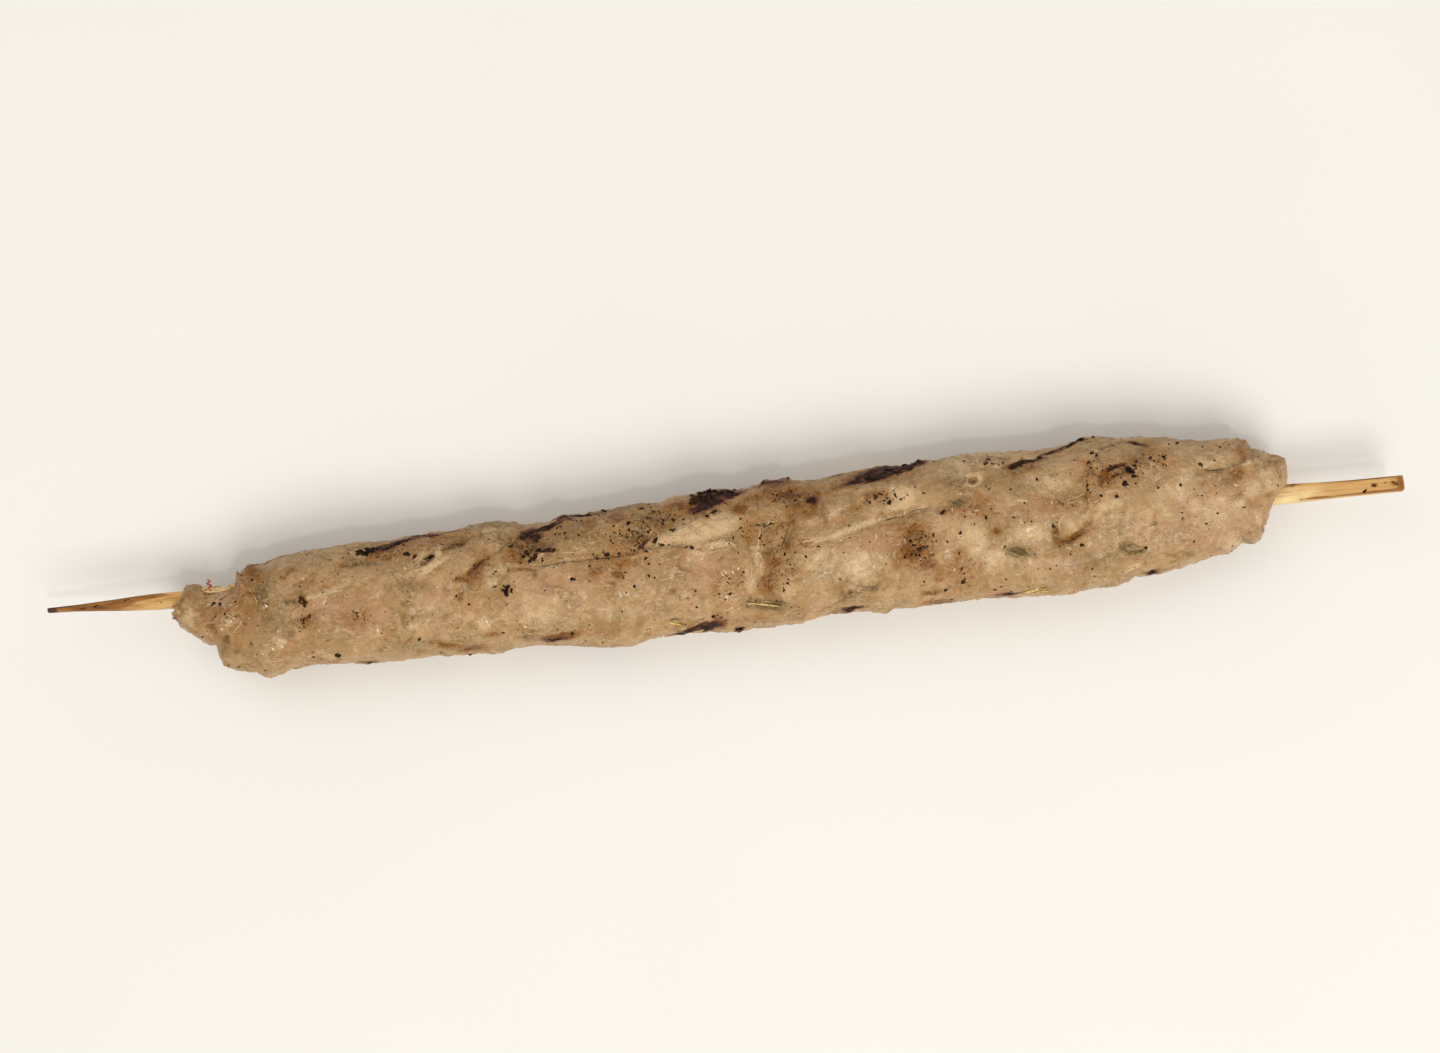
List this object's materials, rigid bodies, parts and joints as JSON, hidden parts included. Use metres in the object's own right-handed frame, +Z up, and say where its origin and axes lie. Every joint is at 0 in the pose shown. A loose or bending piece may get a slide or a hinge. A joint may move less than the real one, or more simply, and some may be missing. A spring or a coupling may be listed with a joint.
{
  "type": "kebab skewer",
  "caption": "Grilled minced-meat kebab: a long uneven roll pressed round a slender wooden stick, pointed at one end, lying on its flatter side.",
  "frame": {"origin": "middle of the bounding box, on the surface that the kebab lies on", "axes": "+X along the stick towards its sawn end, +Y to the meat's far side as seen in the picture, +Z up out of the surface"},
  "size_m": [0.25, 0.0302, 0.0213],
  "materials": {
    "cooked_mince": "moist grilled mince, tan with brown and charred patches",
    "bamboo": "raw split bamboo, browned at the point, glossy with fat beside the meat"
  },
  "bodies": {
    "root": {"minced_meat": "cooked_mince", "wooden_stick": "bamboo"}
  },
  "joints": []
}
